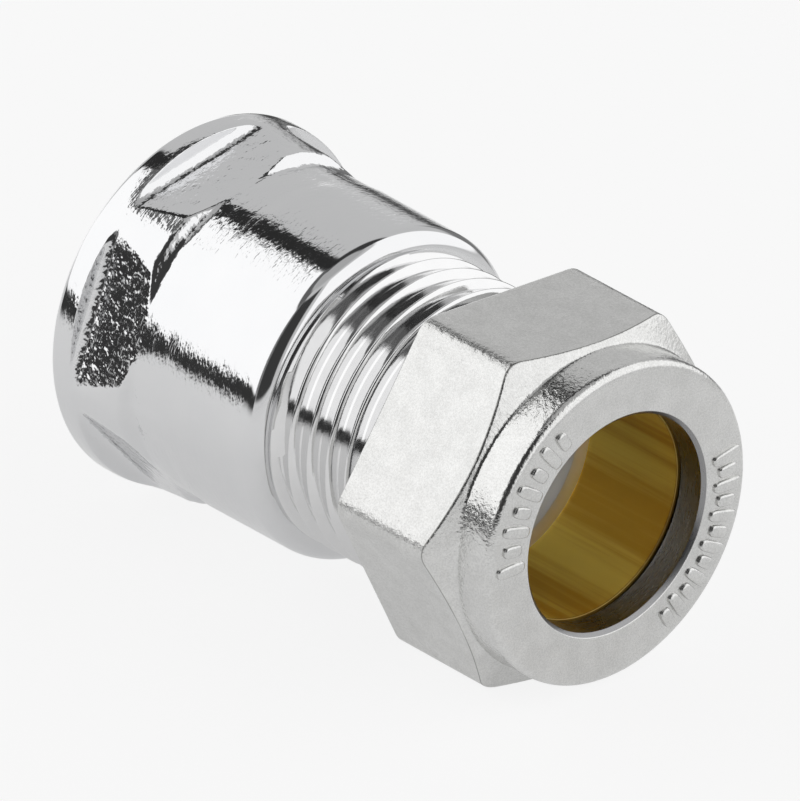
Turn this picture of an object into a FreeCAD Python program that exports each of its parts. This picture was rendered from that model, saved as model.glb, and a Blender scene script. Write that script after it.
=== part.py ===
import FreeCAD, Part
import math
import os

import Sketcher

# Straight compression connector for 15 mm pipe with a 1/2 inch female end.
# Millimetres. The pipe axis is +X, from the female end's rim (X = 0) towards
# the pipe. +Z is the normal of the nut's top flat.

doc = FreeCAD.newDocument("StraightConnector")

# Driving dimensions

sheet = doc.addObject("Spreadsheet::Sheet", "Sizes")
SIZES = [
    # pipe side bores
    ("socket_bore", "15.2", "bore of the pipe socket"),
    ("bore_step", "0.05", "radial step from socket to olive and from olive to lip"),
    ("seat_gap", "0.05", "clearance between the olive and each cone"),
    # female end of the body
    ("female_bore", "18.631", "minor diameter of the female thread"),
    ("female_mouth", "21.2", "countersink at the female rim"),
    ("female_depth", "13.5", "depth of the female thread"),
    ("female_point", "1.7", "depth of the conical bottom"),
    ("through_bore", "13", "waterway between the two ends"),
    ("stop_place", "17", "pipe stop, from the female rim"),
    # outside of the body
    ("collar_dia", "26.1", "round collar at the female rim"),
    ("collar_width", "1.95", "collar from its rim to the first cut of the flats"),
    ("collar_bevel", "0.5", "broken edge of the collar's rim"),
    ("hex_across", "23.3", "body hexagon across flats"),
    ("hex_turn", "-14.3", "turn of the body hexagon about the axis, degrees"),
    ("hex_width", "4.2", "length of the body hexagon"),
    ("hex_wall", "0.45", "axial run of the sloped wall behind each flat"),
    ("hex_corner_fall", "0.5", "fall of the clipped corners from the collar to the hexagon's front"),
    ("hex_step", "0.6", "axial run of the sloped front of the corners"),
    ("flat_rise", "0.08", "rise of a flat for each mm where it runs out into the barrel"),
    ("barrel_dia", "23.65", "round barrel of the body"),
    ("shoulder_place", "18.85", "foot of the shoulder, from the female rim"),
    ("thread_dia", "20.955", "major diameter of the male thread"),
    ("thread_lead", "1", "lead-in chamfer of the male thread"),
    ("body_length", "32.7", "female rim to the compression end"),
    ("rim_width", "0.3275", "flat rim between the cone seat and the lead-in"),
    ("seat_angle", "24", "half angle of the cone seat, degrees"),
    # olive
    ("olive_dia", "17.8", "outside diameter of the olive"),
    ("olive_edge", "0.3", "wall of the olive at each end"),
    ("olive_length", "8.43", "length of the olive"),
    # nut
    ("nut_across", "23.8", "nut across flats"),
    ("nut_corner", "1.6", "rounding of the nut's corners"),
    ("nut_length", "12.8", "overall length of the nut"),
    ("neck_dia", "23", "round neck of the nut"),
    ("neck_length", "3.35", "length of the neck"),
    ("neck_bevel", "0.25", "broken edge of the nut's face"),
    ("corner_angle", "30", "slope of the corner chamfer, degrees"),
    ("cone_angle", "45", "half angle of the nut's inner cone, degrees"),
    ("lip_length", "2.5", "length of the lip bore"),
    ("lip_break", "0.3", "edge break of the lip bore"),
    ("thread_gap", "0.07", "radial clearance of the nut on the thread"),
    ("nut_entry", "0.65", "entry chamfer of the nut's thread"),
]
for row, (alias, value, note) in enumerate(SIZES, start=1):
    sheet.set("A%d" % row, alias)
    sheet.set("B%d" % row, value)
    sheet.set("C%d" % row, note)
    sheet.setAlias("B%d" % row, alias)

# Sizes that follow from the ones above

DERIVED = [
    ("socket_rad", "=socket_bore / 2"),
    ("olive_bore_rad", "=socket_rad + bore_step"),
    ("lip_rad", "=olive_bore_rad + bore_step"),
    ("thread_rad", "=thread_dia / 2"),
    ("barrel_rad", "=barrel_dia / 2"),
    ("shoulder_round", "=barrel_rad - thread_rad"),
    ("seat_mouth_rad", "=thread_rad - thread_lead - rim_width"),
    ("seat_start", "=body_length - (seat_mouth_rad - socket_rad) / tan(seat_angle * 1deg)"),
    ("olive_tip_rad", "=olive_bore_rad + olive_edge"),
    ("olive_back", "=seat_start + (olive_tip_rad + seat_gap / cos(seat_angle * 1deg) - socket_rad)"
                   " / tan(seat_angle * 1deg)"),
    ("olive_front", "=olive_back + olive_length"),
    ("olive_ramp", "=(olive_dia / 2 - olive_tip_rad) / tan(seat_angle * 1deg)"),
    ("olive_nose", "=(olive_dia / 2 - olive_tip_rad) / tan(cone_angle * 1deg)"),
    ("lip_start", "=olive_front + (olive_tip_rad + seat_gap / cos(cone_angle * 1deg) - lip_rad)"
                  " / tan(cone_angle * 1deg)"),
    ("nut_face", "=lip_start + lip_length"),
    ("nut_back", "=nut_face - nut_length"),
    ("neck_base", "=nut_face - neck_length"),
    ("neck_rad", "=neck_dia / 2"),
    ("nut_bore_rad", "=thread_rad + thread_gap"),
    ("cone_start", "=lip_start - (nut_bore_rad - lip_rad) / tan(cone_angle * 1deg)"),
    ("hex_end", "=collar_width + hex_width"),
]
for row, (alias, formula) in enumerate(DERIVED, start=len(SIZES) + 2):
    sheet.set("A%d" % row, alias)
    sheet.set("B%d" % row, formula)
    sheet.setAlias("B%d" % row, alias)
doc.recompute()


class Length:
    """A value read from the sheet, with the formula that ties a feature to it."""

    def __init__(self, value, formula):
        self.value = float(value)
        self.formula = formula

    def combine(self, sign, other, value):
        return Length(value, "(%s %s %s)" % (self.formula, sign, other.formula))

    def __add__(self, other):
        other = as_length(other)
        return self.combine("+", other, self.value + other.value)

    def __sub__(self, other):
        other = as_length(other)
        return self.combine("-", other, self.value - other.value)

    def __mul__(self, other):
        other = as_length(other)
        return self.combine("*", other, self.value * other.value)

    def __truediv__(self, other):
        other = as_length(other)
        return self.combine("/", other, self.value / other.value)


def as_length(value):
    """A plain number as a Length."""
    return value if isinstance(value, Length) else Length(value, "%.9g" % value)


def cell(alias):
    """The sheet's cell of that alias."""
    value = sheet.get(alias)
    return Length(getattr(value, "Value", value), "Sizes." + alias)


def half(alias):
    """Half of a cell, such as a radius from its diameter."""
    return cell(alias) / 2


ZERO = as_length(0)


class Arc:
    """Next corner of an outline, reached by an arc that bulges away from the axis."""

    def __init__(self, point, radius):
        self.point = point
        self.radius = radius


def plane_of(body, role):
    """One of the body's own origin planes or axes."""
    return next(item for item in body.Origin.OriginFeatures if item.Role == role)


def new_sketch(body, name, plane):
    """An empty sketch on one of the body's origin planes."""
    sketch = body.newObject("Sketcher::SketchObject", name)
    sketch.AttachmentSupport = [(plane_of(body, plane), "")]
    sketch.MapMode = "FlatFace"
    return sketch


def vector(point):
    return FreeCAD.Vector(point[0].value, point[1].value, 0)


def arc_between(begin, end, radius):
    """Arc drawn counter-clockwise from end back to begin, so that it bulges away from the axis."""
    chord = end - begin
    inward = FreeCAD.Vector(chord.y, -chord.x, 0).normalize()
    height = math.sqrt(max(radius ** 2 - chord.Length ** 2 / 4, 0))
    centre = (begin + end) * 0.5 + inward * height
    turn = [math.atan2(point.y - centre.y, point.x - centre.x) for point in (end, begin)]
    if turn[1] < turn[0]:
        turn[1] += 2 * math.pi
    circle = Part.Circle(centre, FreeCAD.Vector(0, 0, 1), radius)
    return Part.ArcOfCircle(circle, turn[0], turn[1])


def draw(sketch, outline):
    """Closed outline of straight lines and arcs, every corner tied to the sheet."""
    corners = [item.point if isinstance(item, Arc) else item for item in outline]
    edges = []
    for index, item in enumerate(outline):
        begin = vector(corners[index - 1])
        end = vector(corners[index])
        if isinstance(item, Arc):
            curve = arc_between(begin, end, item.radius.value)
        else:
            curve = Part.LineSegment(begin, end)
        edges.append(sketch.addGeometry(curve, False))
    for index, item in enumerate(outline):
        following = (index + 1) % len(outline)
        edge, onward = edges[index], edges[following]
        tip = 1 if isinstance(item, Arc) else 2
        root = 2 if isinstance(outline[following], Arc) else 1
        sketch.addConstraint(Sketcher.Constraint("Coincident", edge, tip, onward, root))
        for kind, axis, measure in (("DistanceX", -2, corners[index][0]), ("DistanceY", -1, corners[index][1])):
            if measure is ZERO:
                sketch.addConstraint(Sketcher.Constraint("PointOnObject", edge, tip, axis))
                continue
            number = sketch.addConstraint(
                Sketcher.Constraint(kind, -1, 1, edge, tip, measure.value))
            sketch.setExpression("Constraints[%d]" % number, measure.formula)
        if isinstance(item, Arc):
            number = sketch.addConstraint(Sketcher.Constraint("Radius", edge, item.radius.value))
            sketch.setExpression("Constraints[%d]" % number, item.radius.formula)
    return sketch


def turned(body, kind, name, outline):
    """Revolve an outline of (X, radius) corners about the X axis, as a new feature."""
    sketch = draw(new_sketch(body, name + "Outline", "XZ_Plane"), outline)
    feature = body.newObject("PartDesign::" + kind, name)
    feature.Profile = sketch
    feature.ReferenceAxis = (sketch, ["H_Axis"])
    feature.Angle = 360
    sketch.Visibility = False
    return feature


# Connector body: one forging, turned and bored

body = doc.addObject("PartDesign::Body", "ConnectorBody")
body.Label = "connector_body"
socket_rad = cell("socket_rad")
thread_rad = cell("thread_rad")
collar_rad = half("collar_dia")
barrel_rad = cell("barrel_rad")
female_rad = half("female_bore")
mouth_rad = half("female_mouth")
shoulder_round = cell("shoulder_round")
hex_end = cell("hex_end")
body_length = cell("body_length")
turned(body, "Revolution", "Forging", [
    (ZERO, mouth_rad),
    (ZERO, collar_rad - cell("collar_bevel")),
    (cell("collar_bevel"), collar_rad),
    (cell("collar_width"), collar_rad),
    (hex_end, collar_rad - cell("hex_corner_fall")),
    (hex_end + cell("hex_step"), barrel_rad),
    (cell("shoulder_place") - shoulder_round, barrel_rad),
    Arc((cell("shoulder_place"), thread_rad), shoulder_round),
    (body_length - cell("thread_lead"), thread_rad),
    (body_length, thread_rad - cell("thread_lead")),
    (body_length, cell("seat_mouth_rad")),
    (cell("seat_start"), socket_rad),
    (cell("stop_place"), socket_rad),
    (cell("stop_place"), half("through_bore")),
    (cell("female_depth") + cell("female_point"), half("through_bore")),
    (cell("female_depth"), female_rad),
    (mouth_rad - female_rad, female_rad),
])

# The six spanner flats, each with a sloped wall against the collar and a run-out into the barrel

flat = half("hex_across")
flat_top = collar_rad + 1
flat_clear = barrel_rad + 0.05
run_out_end = hex_end + (flat_clear - flat) / cell("flat_rise")
slope_foot = cell("collar_width") + cell("hex_wall")
slope_rise = (flat_top - flat) / (collar_rad - flat)
cut = draw(new_sketch(body, "FlatOutline", "XZ_Plane"), [
    (slope_foot, flat),
    (hex_end, flat),
    (run_out_end, flat_clear),
    (run_out_end, flat_top),
    (slope_foot - cell("hex_wall") * slope_rise, flat_top),
])
cut.AttachmentOffset = FreeCAD.Placement(
    FreeCAD.Vector(0, 0, 0), FreeCAD.Rotation(FreeCAD.Vector(1, 0, 0), -cell("hex_turn").value))
cut.setExpression("AttachmentOffset.Rotation.Angle", "-Sizes.hex_turn * 1deg")
spanner = body.newObject("PartDesign::Pocket", "SpannerFlat")
spanner.Profile = cut
spanner.Type = "Length"
spanner.Midplane = True
spanner.setExpression("Length", "Sizes.collar_dia")
cut.Visibility = False
doc.recompute()
before = body.Shape.Volume
flats = body.newObject("PartDesign::PolarPattern", "SpannerFlats")
flats.Originals = [spanner]
flats.Axis = (plane_of(body, "X_Axis"), [""])
flats.Angle = 360
flats.Occurrences = 6
body.Tip = flats
doc.recompute()
print("spanner flats cut", round(before - body.Shape.Volume, 3), "mm3 beyond the first one")

# Olive: soft brass ring with a long ramp to the body and a short one to the nut

olive = doc.addObject("PartDesign::Body", "Olive")
olive.Label = "olive"
olive_back = cell("olive_back")
olive_front = cell("olive_front")
olive_rad = half("olive_dia")
turned(olive, "Revolution", "Ring", [
    (olive_back, cell("olive_bore_rad")),
    (olive_back, cell("olive_tip_rad")),
    (olive_back + cell("olive_ramp"), olive_rad),
    (olive_front - cell("olive_nose"), olive_rad),
    (olive_front, cell("olive_tip_rad")),
    (olive_front, cell("olive_bore_rad")),
])

# Compression nut: hexagon with rounded corners, then its neck and inner forms

nut = doc.addObject("PartDesign::Body", "CompressionNut")
nut.Label = "compression_nut"
nut_back = cell("nut_back")
nut_face = cell("nut_face")
neck_base = cell("neck_base")
neck_rad = cell("neck_rad")
corner = half("nut_across") / math.cos(math.radians(30))
hexagon = []
for index in range(6):
    angle = math.radians(30 + 60 * index)
    across = corner * math.cos(angle) if abs(math.cos(angle)) > 1e-9 else ZERO
    hexagon.append((corner * math.sin(angle) if abs(math.sin(angle)) > 1e-9 else ZERO, across))
outline = draw(new_sketch(nut, "HexagonOutline", "YZ_Plane"), hexagon)
outline.AttachmentOffset = FreeCAD.Placement(
    FreeCAD.Vector(0, 0, nut_back.value), FreeCAD.Rotation())
outline.setExpression("AttachmentOffset.Base.z", "Sizes.nut_back")
prism = nut.newObject("PartDesign::Pad", "Hexagon")
prism.Profile = outline
prism.Type = "Length"
prism.setExpression("Length", "Sizes.neck_base - Sizes.nut_back")
outline.Visibility = False
doc.recompute()


def long_edges(shape):
    """Names of the straight edges that run along X."""
    names = []
    for number, edge in enumerate(shape.Edges, start=1):
        first, last = edge.Vertexes[0].Point, edge.Vertexes[-1].Point
        if abs(last.x - first.x) > 1 and math.hypot(last.y - first.y, last.z - first.z) < 1e-6:
            names.append("Edge%d" % number)
    return names


corners = nut.newObject("PartDesign::Fillet", "Corners")
corners.Base = (prism, long_edges(prism.Shape))
corners.setExpression("Radius", "Sizes.nut_corner")
doc.recompute()

chamfer_top = corner + 1
chamfer_run = (chamfer_top - neck_rad) * Length(
    math.tan(math.radians(cell("corner_angle").value)), "tan(Sizes.corner_angle * 1deg)")
turned(nut, "Groove", "CornerChamfer", [
    (neck_base, neck_rad),
    (neck_base + 1, neck_rad),
    (neck_base + 1, chamfer_top),
    (neck_base - chamfer_run, chamfer_top),
])
turned(nut, "Revolution", "Neck", [
    (neck_base - 1, ZERO),
    (neck_base - 1, neck_rad),
    (nut_face - cell("neck_bevel"), neck_rad),
    (nut_face, neck_rad - cell("neck_bevel")),
    (nut_face, ZERO),
])
doc.recompute()
whole = nut.Shape.Volume
turned(nut, "Groove", "InnerForm", [
    (nut_back, ZERO),
    (nut_back, cell("nut_bore_rad") + cell("nut_entry")),
    (nut_back + cell("nut_entry"), cell("nut_bore_rad")),
    (cell("cone_start"), cell("nut_bore_rad")),
    (cell("lip_start"), cell("lip_rad")),
    (nut_face - cell("lip_break"), cell("lip_rad")),
    (nut_face, cell("lip_rad") + cell("lip_break")),
    (nut_face, ZERO),
])
doc.recompute()
print("nut bored by", round(whole - nut.Shape.Volume, 3), "mm3")

# Checks, then one STEP file for each piece

pieces = [body, olive, nut]
for piece in pieces:
    piece.Placement = FreeCAD.Placement()
doc.recompute()
faults = [item.Name for item in doc.Objects if {"Invalid", "Error"} & set(item.State)]
faults += [piece.Label for piece in pieces if piece.Shape.isNull() or not piece.Shape.isValid()]
faults += [piece.Label for piece in pieces if len(piece.Shape.Solids) != 1]
if faults:
    raise RuntimeError("not sound: " + ", ".join(faults))
for piece in pieces:
    box = piece.Shape.BoundBox
    print(piece.Label, "volume %.2f" % piece.Shape.Volume,
          "X %.2f to %.2f, radius %.2f" % (box.XMin, box.XMax, box.ZMax))
os.makedirs("parts", exist_ok=True)
for piece in pieces:
    piece.Shape.exportStep("parts/%s.step" % piece.Label)
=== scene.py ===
import logging
import math
from dataclasses import dataclass, field
from enum import Enum

import bmesh
import bpy
import numpy as np
from mathutils import Matrix, Vector


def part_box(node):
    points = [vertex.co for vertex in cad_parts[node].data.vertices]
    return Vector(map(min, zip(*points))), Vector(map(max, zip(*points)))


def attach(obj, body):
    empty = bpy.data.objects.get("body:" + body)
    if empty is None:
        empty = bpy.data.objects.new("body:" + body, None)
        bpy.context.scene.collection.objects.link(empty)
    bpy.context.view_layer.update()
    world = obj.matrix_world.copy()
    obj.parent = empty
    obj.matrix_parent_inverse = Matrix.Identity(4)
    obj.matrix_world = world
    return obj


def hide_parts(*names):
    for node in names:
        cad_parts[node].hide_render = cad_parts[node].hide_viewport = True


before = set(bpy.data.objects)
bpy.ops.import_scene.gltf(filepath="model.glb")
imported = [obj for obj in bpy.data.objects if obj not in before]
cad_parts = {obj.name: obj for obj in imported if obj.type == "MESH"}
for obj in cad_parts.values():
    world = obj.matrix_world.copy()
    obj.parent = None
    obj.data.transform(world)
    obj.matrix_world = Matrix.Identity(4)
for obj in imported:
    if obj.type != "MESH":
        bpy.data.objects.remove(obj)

log = logging.getLogger("connector")

MM = 0.001
SEAM_WIDTH = 0.002 * MM
SLIVER_WIDTH = 0.0002 * MM
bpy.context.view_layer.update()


class Zone(Enum):
    """Which finish a band of a piece gets; the value is the piece's material slot."""

    OUTSIDE = 0
    THREAD = 1
    INSIDE = 2


class ThreadEnd(Enum):
    """How a thread ends: its grooves close up to the major or run out to the minor diameter."""

    TO_MAJOR = 0
    TO_MINOR = 1


def node_box(name: str) -> tuple[np.ndarray, np.ndarray]:
    """Lowest and highest corner of a solid, in millimetres.

    Args:
        name: The solid's node name.

    Returns:
        Two arrays of three numbers.
    """
    low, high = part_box(name)
    return np.array(low) / MM, np.array(high) / MM


def soft_min(a: np.ndarray, b: np.ndarray, width: float) -> np.ndarray:
    """Lower of two surfaces, with the edge between them rolled over.

    Args:
        a: First surface.
        b: Second surface.
        width: Height over which the edge is rolled, in millimetres.

    Returns:
        The rolled lower surface.
    """
    near = np.clip(1 - np.abs(a - b) / width, 0, None)
    return np.minimum(a, b) - near * near * width / 4


def soft_max(a: np.ndarray, b: np.ndarray, width: float) -> np.ndarray:
    """Higher of two surfaces, with the hollow between them filled.

    Args:
        a: First surface.
        b: Second surface.
        width: Height over which the hollow is filled, in millimetres.

    Returns:
        The filled higher surface.
    """
    return -soft_min(-a, -b, width)


@dataclass
class Corner:
    """One corner of a turned outline.

    Args:
        x: Place along the pipe axis in millimetres, one number or one for each column.
        r: Distance from the axis in millimetres, one number or one for each column.
        rounding: Radius of the edge, 0 for an end that another strip meets.
        steps: Rows along the run that follows the corner.
        zone: Finish of that run.
    """

    x: float | np.ndarray
    r: float | np.ndarray
    rounding: float = 0.0
    steps: int = 1
    zone: Zone = Zone.OUTSIDE


@dataclass
class Strip:
    """Rows of rings, one finish for each band between two rows."""

    x: list[np.ndarray] = field(default_factory=list)
    r: list[np.ndarray] = field(default_factory=list)
    zones: list[Zone] = field(default_factory=list)

    def add(self, x: np.ndarray, r: np.ndarray, zone: Zone) -> None:
        """Add a ring, and the finish of the band that leads to it."""
        self.x.append(x)
        self.r.append(r)
        self.zones.append(zone)


def edge_arc(before: np.ndarray, here: np.ndarray, after: np.ndarray, radius: float,
             segments: int = 4, most: float = 0.45) -> list[np.ndarray]:
    """Round a corner of an outline, in every column at once.

    Args:
        before: Corner before this one, one (x, r) row for each column.
        here: The corner itself.
        after: Corner after it.
        radius: Radius of the edge; it shrinks where a run is too short for it.
        segments: Steps of the arc.
        most: Share of a run that the arc may take up.

    Returns:
        The arc's points, each an array of (x, r) rows.
    """
    into, out = before - here, after - here
    into_length = np.maximum(np.linalg.norm(into, axis=1, keepdims=True), 1e-9)
    out_length = np.maximum(np.linalg.norm(out, axis=1, keepdims=True), 1e-9)
    into, out = into / into_length, out / out_length
    opening = np.arccos(np.clip((into * out).sum(axis=1, keepdims=True), -1, 1))
    reach = np.minimum(radius / np.maximum(np.tan(opening / 2), 1e-6),
                       most * np.minimum(into_length, out_length))
    start, end = here + into * reach, here + out * reach
    turn = math.pi - opening
    bent = turn > 1e-3
    inward = into + out
    inward = inward / np.maximum(np.linalg.norm(inward, axis=1, keepdims=True), 1e-9)
    centre = here + inward * reach / np.maximum(np.cos(opening / 2), 1e-6)
    points = []
    for step in range(segments + 1):
        share = step / segments
        first = np.sin((1 - share) * turn) / np.where(bent, np.sin(turn), 1)
        second = np.sin(share * turn) / np.where(bent, np.sin(turn), 1)
        arc = centre + first * (start - centre) + second * (end - centre)
        line = start * (1 - share) + end * share
        points.append(np.where(bent, arc, line))
    return points


def turned_strip(corners: list[Corner], columns: int) -> Strip:
    """Turn an outline into rings, its edges rounded and its runs denser near their ends.

    Args:
        corners: The outline from its first to its last corner.
        columns: Number of columns round the axis.

    Returns:
        The strip of rings.
    """
    places = [np.stack([np.broadcast_to(c.x, columns), np.broadcast_to(c.r, columns)], axis=1)
              for c in corners]
    strip = Strip()
    for index, corner in enumerate(corners):
        if corner.rounding and 0 < index < len(corners) - 1:
            points = edge_arc(places[index - 1], places[index], places[index + 1], corner.rounding)
        else:
            points = [places[index]]
        zone = corners[max(index - 1, 0)].zone
        if strip.x:
            previous = np.stack([strip.x[-1], strip.r[-1]], axis=1)
            steps = corners[index - 1].steps
            for step in range(1, steps):
                share = (1 - math.cos(math.pi * step / steps)) / 2
                between = previous * (1 - share) + points[0] * share
                strip.add(between[:, 0], between[:, 1], zone)
        for point in points:
            strip.add(point[:, 0], point[:, 1], zone)
    return strip


def ring_angles(columns: int) -> np.ndarray:
    """Angles of the columns, from +Z towards +Y."""
    return np.arange(columns) * (2 * math.pi / columns)


def strip_mesh(strip: Strip, columns: int, name: str) -> bpy.types.Mesh:
    """Make an open tube from a strip of rings.

    Args:
        strip: The rings.
        columns: Number of columns round the axis.
        name: Name of the mesh.

    Returns:
        The mesh, in metres.
    """
    angle = ring_angles(columns)
    rings = []
    for x, r in zip(strip.x, strip.r):
        rings.append(np.stack([x, r * np.sin(angle), r * np.cos(angle)], axis=1) * MM)
    column = np.arange(columns)
    following = (column + 1) % columns
    faces = []
    for row in range(len(rings) - 1):
        base, top = row * columns, (row + 1) * columns
        faces.append(np.stack([base + column, base + following, top + following, top + column], axis=1))
    mesh = bpy.data.meshes.new(name)
    mesh.from_pydata(np.concatenate(rings).tolist(), [], np.concatenate(faces).tolist())
    slots = np.repeat([zone.value for zone in strip.zones[1:]], columns)
    mesh.polygons.foreach_set("material_index", slots)
    return mesh


def sewn_piece(name: str, parts: list[bpy.types.Mesh], finishes: list[bpy.types.Material],
               sharp_angle: float = 40.0) -> bpy.types.Object:
    """Sew tubes that meet ring to ring into one closed, smooth-shaded piece.

    Args:
        name: Name of the piece.
        parts: The meshes that make it up; they are used up.
        finishes: Materials in the order of Zone.
        sharp_angle: Edges that bend more than this many degrees stay crisp.

    Returns:
        The finished object, at the origin.
    """
    shell = bmesh.new()
    for part in parts:
        shell.from_mesh(part)
        bpy.data.meshes.remove(part)
    bmesh.ops.remove_doubles(shell, verts=shell.verts, dist=SEAM_WIDTH)
    bmesh.ops.dissolve_degenerate(shell, edges=shell.edges, dist=SLIVER_WIDTH)
    bmesh.ops.recalc_face_normals(shell, faces=shell.faces)
    if shell.calc_volume(signed=True) < 0:
        bmesh.ops.reverse_faces(shell, faces=shell.faces)
    loose = sum(1 for edge in shell.edges if len(edge.link_faces) != 2)
    mesh = bpy.data.meshes.new(name)
    shell.to_mesh(mesh)
    shell.free()
    for finish in finishes:
        mesh.materials.append(finish)
    mesh.shade_smooth()
    mesh.set_sharp_from_angle(angle=math.radians(sharp_angle))
    piece = bpy.data.objects.new(name, mesh)
    bpy.context.scene.collection.objects.link(piece)
    triangles = sum(len(polygon.vertices) - 2 for polygon in mesh.polygons)
    log.info("%s: %d triangles, %d open edges", name, triangles, loose)
    return piece


class Term:
    """A number in a node tree that takes the usual signs."""

    def __init__(self, formulas: "Formulas", socket: bpy.types.NodeSocket) -> None:
        """Stand for a socket of that tree."""
        self.formulas = formulas
        self.socket = socket

    def __add__(self, other: object) -> "Term":
        """Sum with a number or another term."""
        return self.formulas.math("ADD", self, other)

    def __sub__(self, other: object) -> "Term":
        """Difference from a number or another term."""
        return self.formulas.math("SUBTRACT", self, other)

    def __rsub__(self, other: object) -> "Term":
        """What is left of a number."""
        return self.formulas.math("SUBTRACT", other, self)

    def __mul__(self, other: object) -> "Term":
        """Product with a number or another term."""
        return self.formulas.math("MULTIPLY", self, other)

    def __truediv__(self, other: object) -> "Term":
        """Quotient by a number or another term."""
        return self.formulas.math("DIVIDE", self, other)

    __radd__ = __add__
    __rmul__ = __mul__


class Formulas:
    """A node tree that is written as formulas."""

    def __init__(self, tree: bpy.types.NodeTree) -> None:
        """Write into that tree."""
        self.tree = tree

    def feed(self, value: object, socket: bpy.types.NodeSocket) -> None:
        """Feed a socket from a term or another socket, or set its plain value."""
        source = value.socket if isinstance(value, Term) else value
        if isinstance(source, bpy.types.NodeSocket):
            self.tree.links.new(source, socket)
        else:
            socket.default_value = source

    def node(self, kind: str, inputs: dict[str, object] | None = None,
             **settings: object) -> bpy.types.Node:
        """Add a node, set its properties and feed its inputs.

        Args:
            kind: Blender's name for the kind of node.
            inputs: Value or socket for each named input.
            settings: The node's own properties.

        Returns:
            The node.
        """
        made = self.tree.nodes.new(kind)
        for key, value in settings.items():
            setattr(made, key, value)
        for key, value in (inputs or {}).items():
            self.feed(value, made.inputs[key])
        return made

    def number(self, kind: str, inputs: dict[str, object] | None = None, **settings: object) -> Term:
        """First output of a new node, as a term."""
        return Term(self, self.node(kind, inputs, **settings).outputs[0])

    def ordered(self, kind: str, *values: object, **settings: object) -> bpy.types.NodeSocket:
        """First output of a new node whose inputs are fed in their order."""
        made = self.node(kind, **settings)
        for value, socket in zip(values, made.inputs):
            self.feed(value, socket)
        return made.outputs[0]

    def math(self, operation: str, *values: object) -> Term:
        """A Math node of that operation on one to three values."""
        return Term(self, self.ordered("ShaderNodeMath", *values, operation=operation))

    def blend(self, share: Term, first: float | Term, second: float | Term) -> Term:
        """A number between two by a share."""
        return (second - first) * share + first

    def between(self, value: Term, low: float, high: float, to_low: float = 0.0,
                to_high: float = 1.0) -> Term:
        """Carry a value smoothly from one range to another.

        Args:
            value: The term to carry.
            low: Value that gives to_low.
            high: Value that gives to_high.
            to_low: Result below the range.
            to_high: Result above it.

        Returns:
            The mapped term.
        """
        return self.number("ShaderNodeMapRange", {
            "Value": value, "From Min": low, "From Max": high, "To Min": to_low, "To Max": to_high,
        }, interpolation_type="SMOOTHSTEP")


class FieldTree(Formulas):
    """A Geometry Nodes tree with named inputs."""

    def __init__(self, name: str) -> None:
        """Start an empty tree with one geometry output."""
        super().__init__(bpy.data.node_groups.new(name, "GeometryNodeTree"))
        self.tree.interface.new_socket(name="Geometry", in_out="OUTPUT",
                                       socket_type="NodeSocketGeometry")
        self.sockets: dict[str, str] = {}
        self.entry = self.tree.nodes.new("NodeGroupInput")

    def input(self, name: str, kind: str = "NodeSocketFloat") -> Term:
        """Add a named input and give its term inside the tree."""
        item = self.tree.interface.new_socket(name=name, in_out="INPUT", socket_type=kind)
        self.sockets[name] = item.identifier
        inside = next(out for out in self.entry.outputs if out.identifier == item.identifier)
        return Term(self, inside)

    def choose(self, switch: Term, if_false: Term, if_true: Term) -> Term:
        """One of two numbers, by a true or false value."""
        return self.number("GeometryNodeSwitch", {"Switch": switch, "False": if_false,
                                                  "True": if_true}, input_type="FLOAT")

    def on_circle(self, x: Term, radius: Term, angle: Term) -> bpy.types.NodeSocket:
        """Place at a distance from the X axis and an angle from +Z towards +Y."""
        return self.ordered("ShaderNodeCombineXYZ", x, radius * self.math("SINE", angle),
                            radius * self.math("COSINE", angle))

    def finish(self, geometry: bpy.types.NodeSocket, material: Term) -> None:
        """End the tree in Realize Instances and Set Material."""
        real = self.ordered("GeometryNodeRealizeInstances", geometry)
        dress = self.node("GeometryNodeSetMaterial", {"Geometry": real, "Material": material})
        self.node("NodeGroupOutput", {"Geometry": dress.outputs[0]})

    def mesh(self, name: str, values: dict[str, object]) -> bpy.types.Mesh:
        """Run the tree once and keep its result.

        Args:
            name: Name of the mesh.
            values: Value of each named input.

        Returns:
            The evaluated result as a plain mesh.
        """
        carrier = bpy.data.objects.new(name, bpy.data.meshes.new(name))
        bpy.context.scene.collection.objects.link(carrier)
        modifier = carrier.modifiers.new(name, "NODES")
        modifier.node_group = self.tree
        for key, value in values.items():
            modifier[self.sockets[key]] = value
        depsgraph = bpy.context.evaluated_depsgraph_get()
        result = bpy.data.meshes.new_from_object(carrier.evaluated_get(depsgraph))
        carrier.modifiers.remove(modifier)
        bpy.data.objects.remove(carrier)
        return result


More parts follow.
